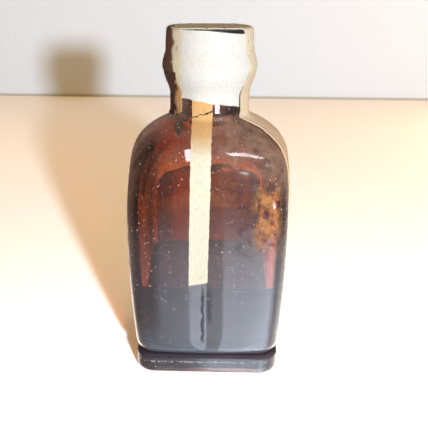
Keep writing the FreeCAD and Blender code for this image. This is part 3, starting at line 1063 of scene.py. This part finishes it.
BAND_SKEW = math.radians(5.5)
# Painted light and shade: pale on the right of the cap, dark brown on the left, away from the key lamp.
BAND_SHADED_LEFT = pasted_paper("kraft_band_shaded_left", "#fff3d8", "#7a5a48", -10.4, -11.4, "X", "#a87b55", 0.56)
# Painted shade: the left leg is dark brown but for its front edge, standing in for the shade on the
# left of the neck.
LEFT_LEG_SHADED = pasted_paper("kraft_band_left_shaded", "#efbd88", "#5e4034", -9.3, -10.4, "X", "#8a6344", 0.54)
PEACH = pasted_paper("peach_band_paper", "#ffecce", "#ffe0ba", 12.0, 26.0, "X", "#dfb48c", 0.58)


def band_over_cap():
    side = np.array(cap_outline(34, True))
    across = np.linspace(-BAND_HALF, BAND_HALF, 45)
    rim = np.sqrt(side[-1][0] ** 2 - across**2)
    rows = [(-np.sqrt(r**2 - across**2), z) for r, z in side]
    rows += [(rim * share, CAP_PAPER_TOP) for share in np.linspace(-1, 1, 45)[1:-1]]
    rows += [(np.sqrt(r**2 - across**2), z) for r, z in side[::-1]]
    grid = np.array([np.stack([x, across, np.full_like(across, z)], 1) for x, z in rows])
    near_edge = np.clip((np.abs(across) - BAND_HALF + 2.0) / 2.0, 0, 1)
    grid[..., 1] += np.sign(across) * near_edge * jitter(len(rows), 2.2, 5)[:, None] * 0.3
    c, s = math.cos(BAND_SKEW), math.sin(BAND_SKEW)
    grid = grid @ np.array([(c, s, 0), (-s, c, 0), (0, 0, 1)])
    grid = crumple(grid, 0.1, 2.6, 11)
    return crumple(grid, 0.13 * near_edge, 1.1, 12)


cap_band = sheet_skin("cap_band", band_over_cap(), BAND_PAPER, BAND_SHADED_LEFT)
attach(cap_band, "cap")
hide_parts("cap_band")

# %% Band's left leg
def left_leg():
    low, high = BEAD_Z - 13.8, BEAD_Z - 0.1
    heights = np.linspace(low, high, 44)[:, None]
    across = np.linspace(-BAND_HALF, BAND_HALF, 41)[None, :]
    round_end = 1.6 * np.clip((np.abs(across) - 5.6) / 3.2, 0, 1) ** 2
    share = (high - heights) / (high - low)
    heights = heights + round_end * share + 0.25 * jitter(41, 1.8, 2)[None, :] * share
    near_top = np.clip((heights - (BEAD_Z - 2)) / 2, 0, 1)
    skewed = across + BEAD_RADIUS * BAND_SKEW * np.clip((heights - 86) / 8, 0, 1)
    grid = on_glass(skewed, heights, LEFT, 0.12 - 0.07 * near_top)
    return crumple(grid, 0.1, 2.0, 21)


neck_band_left = sheet_skin("neck_band_left", left_leg(), BAND_PAPER, LEFT_LEG_SHADED)
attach(neck_band_left, "bottle")
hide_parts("neck_band_left")


# %% Band's right leg
def right_leg():
    low, high = 44.0, BEAD_Z - 0.1
    heights = even_heights(low, high, RIGHT, 130)[:, None]
    across = np.linspace(-BAND_HALF, BAND_HALF, 45)[None, :]
    end = np.clip((60 - heights) / 16, 0, 1)
    heights = heights + 0.8 * jitter(45, 2.0, 8)[None, :] * end**3
    edge = np.clip((np.abs(across) - 6.8) / 2.0, 0, 1) ** 2
    loose = np.exp(-(((heights - 77) / 6) ** 2))
    lift = 0.1 + 0.7 * edge * loose * (across < 0)
    skewed = across + BEAD_RADIUS * BAND_SKEW * np.clip((heights - 70) / 12, 0, 1)
    flare = 3.6 * np.clip(-across / BAND_HALF, 0, 1) ** 2
    skewed = skewed - flare * np.clip((heights - 48) / 14, 0, 1) * np.clip((82 - heights) / 8, 0, 1)
    grid = on_glass(skewed, heights, RIGHT, lift)
    return crumple(grid, 0.1, 2.0, 31)


seal_band_right = sheet_skin("seal_band_right", right_leg(), BAND_PAPER, PEACH)
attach(seal_band_right, "bottle")
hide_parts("seal_band_right")

# %% [markdown]
# The white label is one paper that wraps the front of the cap and runs down
# over the bead on to the neck. The cap has to unscrew, so the label is slit
# at the bead, with the upper part lapping over the lower one by a hair.

# %% Label on the cap and the neck
LABEL_REACH = BAND_HALF + 0.05
LABEL_DROP_LEFT, LABEL_DROP_RIGHT = 8.0, 10.6
LABEL_TOP_DROP = 1.2
# Painted light: the label turns a warmer yellow at its left edge, standing in for the warm fill where
# the key lamp's light fades.
LABEL_WHITE = pasted_paper("white_label_paper", "#fffdf6", "#fff8d2", -7.0, -9.5, "X", "#f6ecd0", 0.7)


def label_angles(radius, left_skew=1.0, columns=60):
    """Directions across the label, from one edge of the band to the other."""
    half = np.arccos(LABEL_REACH / np.asarray(radius))
    share = np.linspace(0, 1, columns)
    return FRONT + half * (2 * share - 1) + BAND_SKEW * (left_skew + (1 - left_skew) * share)


def cap_label_grid():
    side = np.array(cap_outline(40, False))
    share = np.linspace(0, 1, 60)
    top = CAP_TOP_Z - 0.05 - LABEL_TOP_DROP * np.clip((share - 0.42) / 0.5, 0, 1)
    rows = []
    low = side[0][1]
    for _, z in side:
        height = low + (z - low) * (top - low) / (side[-1][1] - low)
        radius = np.interp(height, side[:, 1], side[:, 0])
        rows.append(around(radius, label_angles(radius), height))
    return crumple(np.array(rows), 0.05, 4.0, 41)


def neck_label_grid():
    share = np.linspace(0, 1, 60)
    drop = LABEL_DROP_LEFT + (LABEL_DROP_RIGHT - LABEL_DROP_LEFT) * np.clip(share - 0.1, 0, 1) / 0.9
    low = BEAD_Z - drop + 0.12 * jitter(60, 2.5, 4)
    rows = []
    for t in np.linspace(0, 1, 34):
        height = low + (BEAD_Z - 0.1 - low) * t
        radius = neck_profile(height) + 0.06 + 0.1 * (1 - t)
        angles = label_angles(radius, np.clip((height - 86) / 8, 0, 1))
        radius = radius + 0.28 * np.exp(-(((np.degrees(angles) + 98) / 16) ** 4)) * (1 - t)
        rows.append(around(radius, angles, height))
    return crumple(np.array(rows), 0.05, 4.0, 51)


cap_label = sheet_skin("cap_label", cap_label_grid(), PAPER, LABEL_WHITE)
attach(cap_label, "cap")
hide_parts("cap_label")
neck_label = sheet_skin("neck_label", neck_label_grid(), PAPER, LABEL_WHITE)
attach(neck_label, "bottle")
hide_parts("neck_label")

# %% [markdown]
# The strip down the front has torn across at the foot of the neck. Above the
# tear a short stub goes up under the label, and below it the strip bridges
# the mould seam. The paste has turned its top third tan.

# %% Front strip and its stub
STRIP_HALF = 3.0
STRIP_MIDDLE = -1.8
STRIP_CREAM = pasted_paper("cream_strip_paper", "#fffbe2", "#fbcb8c", 70.0, 78.0, "Z", "#d8a468", 0.64)
TEAR_LEFT, TEAR_RIGHT = 80.4, 82.4


def tear_line(share, seed):
    return TEAR_LEFT + (TEAR_RIGHT - TEAR_LEFT) * share + 0.45 * jitter(share.size, 0.9, seed)


def strip_grid():
    share = np.linspace(0, 1, 17)
    rows = even_heights(32.2, 81.4, FRONT, 150)
    part = ((rows - rows[0]) / (rows[-1] - rows[0]))[:, None]
    low = 31.6 + 1.2 * share + 0.1 * jitter(17, 0.8, 13)
    high = tear_line(share, 14)
    base = rows[:, None]
    heights = base + (low - rows[0])[None, :] * (1 - part) ** 12 + (high - rows[-1])[None, :] * part**12
    edge = jitter(150, 0.8, 15, 0.34)[:, None] * 0.12 * (2 * share - 1)[None, :]
    lean = np.clip((66 - heights) / 34, 0, 1)
    across = STRIP_MIDDLE + (STRIP_HALF - 0.15 * lean) * (2 * share - 1)[None, :] + edge - 0.7 * lean
    flat_over_seam = 0.25 * np.exp(-((across / 2.5) ** 2)) * np.clip((74 - heights) / 6, 0, 1)
    grid = on_glass(across, heights, FRONT, 0.06 + flat_over_seam)
    return crumple(grid, 0.04, 3.0, 61)


def stub_grid():
    share = np.linspace(0, 1, 17)
    low = tear_line(share, 16) + 0.3
    heights = low + (BEAD_Z - 5.0 - low) * np.linspace(0, 1, 20)[:, None]
    across = STRIP_MIDDLE + STRIP_HALF * (2 * share - 1)
    return on_glass(across, heights, FRONT, 0.04)


front_strip = sheet_skin("front_strip", strip_grid(), PAPER, STRIP_CREAM)
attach(front_strip, "bottle")
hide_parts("front_strip")
neck_strip = sheet_skin("neck_strip", stub_grid(), PAPER, STRIP_CREAM)
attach(neck_strip, "bottle")
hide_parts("neck_strip")

# %% [markdown]
# A plain label is pasted on the back. Seen through the amber it makes the
# middle of the bottle a deep red brown, and where its edge has been eaten
# away the bright background shows orange.

# %% Back label
LABEL_PLAIN = pasted_paper("back_label_paper", "#f8e0b4", "#dcb985", 30.0, 24.0, "Z", "#b98f5e", 0.6)


def back_label_grid():
    rows = even_heights(27.0, 66.0, BACK, 90)
    share = np.linspace(-1, 1, 90)[None, :]
    cut = 21.8 + 0.3 * jitter(90, 2.5, 71, 0.43)
    eaten = 19.5 + 1.0 * jitter(90, 3.1, 74, 0.43) + 0.35 * jitter(90, 1.2, 76, 0.43)
    reach = np.where(share > 0, cut[:, None], eaten[:, None])
    across = reach * share
    part = np.linspace(0, 1, 90)[:, None]
    arch = 13.0 * np.abs(across / 22) ** 2.6 * part**3
    ragged = 0.8 * jitter(90, 3.0, 72, 0.4)[None, :] * (2 * part - 1) ** 9
    return crumple(on_glass(across, rows[:, None] - arch + ragged, BACK, 0.1), 0.05, 6.0, 73)


back_label = sheet_skin("back_label", back_label_grid(), PAPER, LABEL_PLAIN)
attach(back_label, "bottle")
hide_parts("back_label")

# %% [markdown]
# ## Floor, backdrop and light
# The bottle stands on a white table with a white wall half a metre behind.
# For the camera they are brightened in their own materials, so that they look
# white without more light falling on the bottle, and past the key lamp, where
# no light reaches, the table glows for the camera instead. The key light is
# low, in front and to the right, so the shadow falls back to the left.

# %% Floor and backdrop
WALL_Y = 482.0
PAST_KEY = (-300.0, -480.0)  # where the table leaves the key lamp's light
SENT_BACK = 0.55  # share of its colour that the stage throws on other things


def stage_material(name, colour, gain, behind_glass):
    """Matt white, brighter by gain to the camera and by behind_glass through the bottle."""
    material, tree, where = new_material(name)
    rays = add(tree, "ShaderNodeLightPath").outputs
    surface = matt(tree, colour, SENT_BACK)
    surface = mixed(tree, rays["Is Transmission Ray"], surface, matt(tree, colour, behind_glass))
    surface = mixed(tree, rays["Is Camera Ray"], surface, matt(tree, colour, gain))
    past = span(tree, axes(tree, where)["Y"], *(v * MM for v in PAST_KEY))
    glow = add(tree, "ShaderNodeEmission", {"Color": linear(colour), "Strength": 1.0})
    surface = mixed(tree, times(tree, rays["Is Camera Ray"], past), surface, glow.outputs[0])
    add(tree, "ShaderNodeOutputMaterial", {"Surface": surface})
    return material


def stage_plane(name, corners, material):
    mesh = bpy.data.meshes.new(name)
    mesh.from_pydata([tuple(c * MM for c in corner) for corner in corners], [], [(0, 1, 2, 3)])
    mesh.materials.append(material)
    obj = bpy.data.objects.new(name, mesh)
    bpy.context.scene.collection.objects.link(obj)
    return obj


floor = stage_plane(
    "table",
    [(-1500, -1500, 0), (1500, -1500, 0), (1500, WALL_Y, 0), (-1500, WALL_Y, 0)],
    stage_material("table_white", "#eef1f6", 4.15, 4.2),
)
wall = stage_plane(
    "wall",
    [(-1500, WALL_Y, 0), (1500, WALL_Y, 0), (1500, WALL_Y, 1500), (-1500, WALL_Y, 1500)],
    stage_material("wall_white", "#d6e3f2", 2.95, 3.3),
)
stage_plane(
    "wall_foot",
    [(x, WALL_Y - 1, z) for x, z in ((-1500, 0), (1500, 0), (1500, 2.2), (-1500, 2.2))],
    stage_material("joint_grey", "#a9aca8", 3.2, 3.0),
)
print("table, and a wall", WALL_Y, "behind the middle of the bottle")


# %% Lamps
def lamp(name, place, target, size, power, colour):
    """A round area lamp in millimetres, aimed at a point."""
    data = bpy.data.lights.new(name, "AREA")
    data.shape = "DISK"
    data.size = size * MM
    data.energy = power
    data.color = linear(colour)[:3]
    obj = bpy.data.objects.new(name, data)
    bpy.context.scene.collection.objects.link(obj)
    obj.location = Vector(place) * MM
    aim = (Vector(target) - Vector(place)).normalized()
    obj.rotation_mode = "QUATERNION"
    obj.rotation_quaternion = aim.to_track_quat("-Z", "Y")
    return obj


key = lamp("key", (150, -500, 168), (0, 0, 50), 30, 2.45, "#f3f9ff")
key.visible_glossy = False
for name, place, power in (
    ("back_left", (-420, 260, 75), 0.12),
    ("back_right", (400, 330, 75), 0.42),
):
    rim = lamp(name, place, (0, 0, 50), 130, power, "#ffcf9c")
    rim.visible_glossy = False
    rim.visible_transmission = False
print("lamps:", sorted(light.name for light in bpy.data.lights))

# %% [markdown]
# ## Room
# The room is a warm, even fill, and to the camera it is a plain grey white.
# What the glass mirrors is another matter: a glossy surface shows the room's
# shape, so for glossy rays the world is painted by direction, as sheets of
# paper and four window strips would stand in a studio. The left is dim and
# the right is bright, which gives each half of the front its own column.

# %% Room
def direction(azimuth, elevation):
    """A unit vector from degrees round from the front, to the right, and up."""
    a, e = math.radians(azimuth), math.radians(elevation)
    return (math.sin(a) * math.cos(e), -math.cos(a) * math.cos(e), math.sin(e))


EDGE = -2.5
AROUND = [
    # azimuth, and the colour of the light from there
    (-180, (0.10, 0.08, 0.07)),
    (-140, (0.42, 0.38, 0.36)),
    (-100, (0.12, 0.10, 0.09)),
    (-16, (0.19, 0.22, 0.27)),
    (EDGE - 0.35, (0.27, 0.31, 0.37)),
    (EDGE + 0.35, (0.49, 0.56, 0.67)),
    (7, (0.47, 0.545, 0.65)),
    (15, (0.70, 0.80, 0.95)),
    (60, (0.24, 0.25, 0.27)),
    (140, (0.42, 0.40, 0.38)),
    (180, (0.10, 0.08, 0.07)),
]
UPRIGHT = [
    # elevation, and the share of the light from there
    (-38, 1.0), (-31, 0.87), (-24, 0.68), (-21, 0.42),
    (-18, 0.2), (-14, 0.12), (12, 0.1), (60, 0.08),
]
ROOM_GAIN = 14.0
WINDOW_LIGHT = (0.93, 0.9, 1.0)
WINDOWS = [
    # ends as (azimuth, elevation), half width in degrees, strength
    ((-12, 30), (-36, 66), 3.4, 26.0),
    ((19, 53), (50, 56), 5.0, 36.0),
    ((33, 33), (44, 44), 3.0, 9.0),
    ((17, -10), (32, -10), 1.9, 26.0),
]


def window(tree, ray, start, end, half, strength):
    """The light of a strip between two directions."""
    a, b = Vector(direction(*start)), Vector(direction(*end))
    middle, along = (a + b).normalized(), (b - a).normalized()
    across = middle.cross(along).normalized()
    off, run, ahead = (
        vectors(tree, "DOT_PRODUCT", {0: ray, 1: way}).outputs["Value"]
        for way in (across, along, middle)
    )
    width, reach = math.sin(math.radians(half)), math.sin(a.angle(b) / 2)
    inside = times(
        tree,
        span(tree, calc(tree, "ABSOLUTE", off), width, width * 0.5),
        span(tree, calc(tree, "ABSOLUTE", run), reach * 1.05, reach * 0.85),
        span(tree, ahead, 0.2, 0.4),
    )
    tint = tuple(c * strength for c in WINDOW_LIGHT)
    return vectors(tree, "SCALE", {0: tint, "Scale": inside}).outputs[0]


def room():
    """Warm fill for what the room lights, and another room for what mirrors it."""
    world = bpy.data.worlds.new("room")
    world.use_nodes = True
    tree = world.node_tree
    tree.nodes.clear()
    ray = add(tree, "ShaderNodeTexCoord").outputs["Generated"]
    x, y, z = axes(tree, ray)
    turn = calc(tree, "ARCTAN2", x, calc(tree, "MULTIPLY", y, -1.0))
    turn = calc(tree, "MULTIPLY_ADD", turn, 1 / TAU, 0.5)
    rise = calc(tree, "MULTIPLY_ADD", calc(tree, "ARCSINE", z), 1 / math.pi, 0.5)
    level = ramp(tree, turn, [(a / 360 + 0.5, tint) for a, tint in AROUND])
    upright = ramp(tree, rise, [(e / 180 + 0.5, (share,) * 3) for e, share in UPRIGHT])
    share = calc(tree, "MULTIPLY", upright, ROOM_GAIN)
    light = vectors(tree, "SCALE", {0: level, "Scale": share}).outputs[0]
    for pane in WINDOWS:
        light = vectors(tree, "ADD", {0: light, 1: window(tree, ray, *pane)}).outputs[0]
    fill, mirrored, beyond = (
        add(tree, "ShaderNodeBackground", {"Color": tint, "Strength": strength}).outputs[0]
        for tint, strength in ((linear("#ffc87c"), 0.2), (light, 1.0), (linear("#f1f1f2"), 1.0))
    )
    rays = add(tree, "ShaderNodeLightPath").outputs
    seen = mixed(tree, rays["Is Glossy Ray"], fill, mirrored)
    shown = mixed(tree, rays["Is Camera Ray"], seen, beyond)
    add(tree, "ShaderNodeOutputWorld", {"Surface": shown})
    return world


bpy.context.scene.world = room()
for sheet in (floor, wall):
    sheet.visible_glossy = False
print("room with", len(WINDOWS), "windows")
